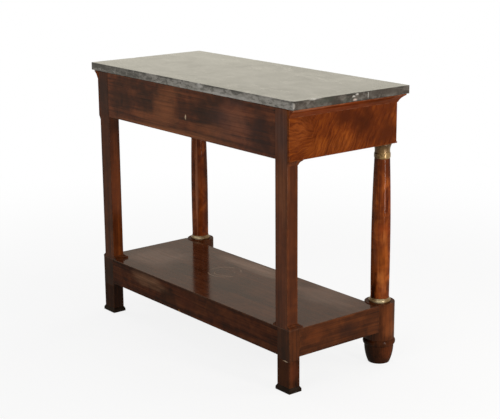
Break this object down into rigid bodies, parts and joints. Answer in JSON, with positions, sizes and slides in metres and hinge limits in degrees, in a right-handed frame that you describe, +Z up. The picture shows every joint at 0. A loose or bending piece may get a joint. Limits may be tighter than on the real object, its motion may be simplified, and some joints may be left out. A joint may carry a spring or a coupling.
{
  "type": "pier table",
  "caption": "Pier table: veined marble slab on a veneered frieze with a sliding drawer, turned front columns with brass sleeves, square back posts and a low plinth shelf.",
  "frame": {"origin": "on the floor, under the middle of the slab", "axes": "+Z up, +X to the right-hand end seen from the front, the front with the columns and drawer faces -Y"},
  "size_m": [1.05, 0.45, 0.87],
  "materials": {
    "marble": "grey veined marble, polished",
    "flame_veneer": "flame veneer, shellac polish",
    "stained_back": "dark stain, low sheen",
    "polished_column": "shellac polish",
    "polished_shelf": "high shellac polish",
    "polished_mahogany": "shellac polish",
    "dark_pad": "ebonised, worn",
    "aged_brass": "aged, dull",
    "drawer_wood": "bare, planed",
    "secondary_wood": "bare, sawn and planed"
  },
  "bodies": {
    "frame": {"back_foot_dowels": "secondary_wood", "back_foot_left": "polished_mahogany", "back_foot_pad_left": "dark_pad", "back_foot_pad_right": "dark_pad", "back_foot_right": "polished_mahogany", "back_post_left": "polished_mahogany", "back_post_right": "polished_mahogany", "column_base_left": "aged_brass", "column_base_right": "aged_brass", "column_capital_left": "aged_brass", "column_capital_right": "aged_brass", "column_left": "polished_column", "column_right": "polished_column", "corner_drum_left": "polished_mahogany", "corner_drum_right": "polished_mahogany", "corner_lip_left": "flame_veneer", "corner_lip_right": "flame_veneer", "cornice_front": "polished_mahogany", "cornice_left": "polished_mahogany", "cornice_right": "polished_mahogany", "drawer_guide_left": "secondary_wood", "drawer_guide_right": "secondary_wood", "drawer_runner_left": "secondary_wood", "drawer_runner_right": "secondary_wood", "frieze_back_rail": "stained_back", "frieze_end_board_left": "secondary_wood", "frieze_end_board_right": "secondary_wood", "frieze_facing_left": "flame_veneer", "frieze_facing_right": "flame_veneer", "front_corner_block_left": "flame_veneer", "front_corner_block_right": "flame_veneer", "front_foot_left": "polished_mahogany", "front_foot_right": "polished_mahogany", "front_lower_rail": "polished_mahogany", "front_top_rail": "polished_mahogany", "marble_top": "marble", "plinth_back_rail": "stained_back", "plinth_corner_block_left": "polished_mahogany", "plinth_corner_block_right": "polished_mahogany", "plinth_end_rail_left": "polished_mahogany", "plinth_end_rail_right": "polished_mahogany", "plinth_front_rail": "polished_mahogany", "plinth_glue_blocks": "secondary_wood", "post_base_left": "polished_mahogany", "post_base_right": "polished_mahogany", "post_capital_left": "polished_mahogany", "post_capital_right": "polished_mahogany", "shelf_bearers": "secondary_wood", "shelf_panel": "secondary_wood", "shelf_veneer": "polished_shelf", "top_bearer_left": "secondary_wood", "top_bearer_middle": "secondary_wood", "top_bearer_right": "secondary_wood"},
    "drawer": {"drawer_back": "drawer_wood", "drawer_bottom": "drawer_wood", "drawer_front": "flame_veneer", "drawer_lip": "flame_veneer", "drawer_side_left": "drawer_wood", "drawer_side_right": "drawer_wood"}
  },
  "joints": [
    {"name": "drawer_slide", "type": "slide", "parent": "frame", "child": "drawer", "axis": [0, -1, 0], "range_m": [0, 0.26]}
  ]
}
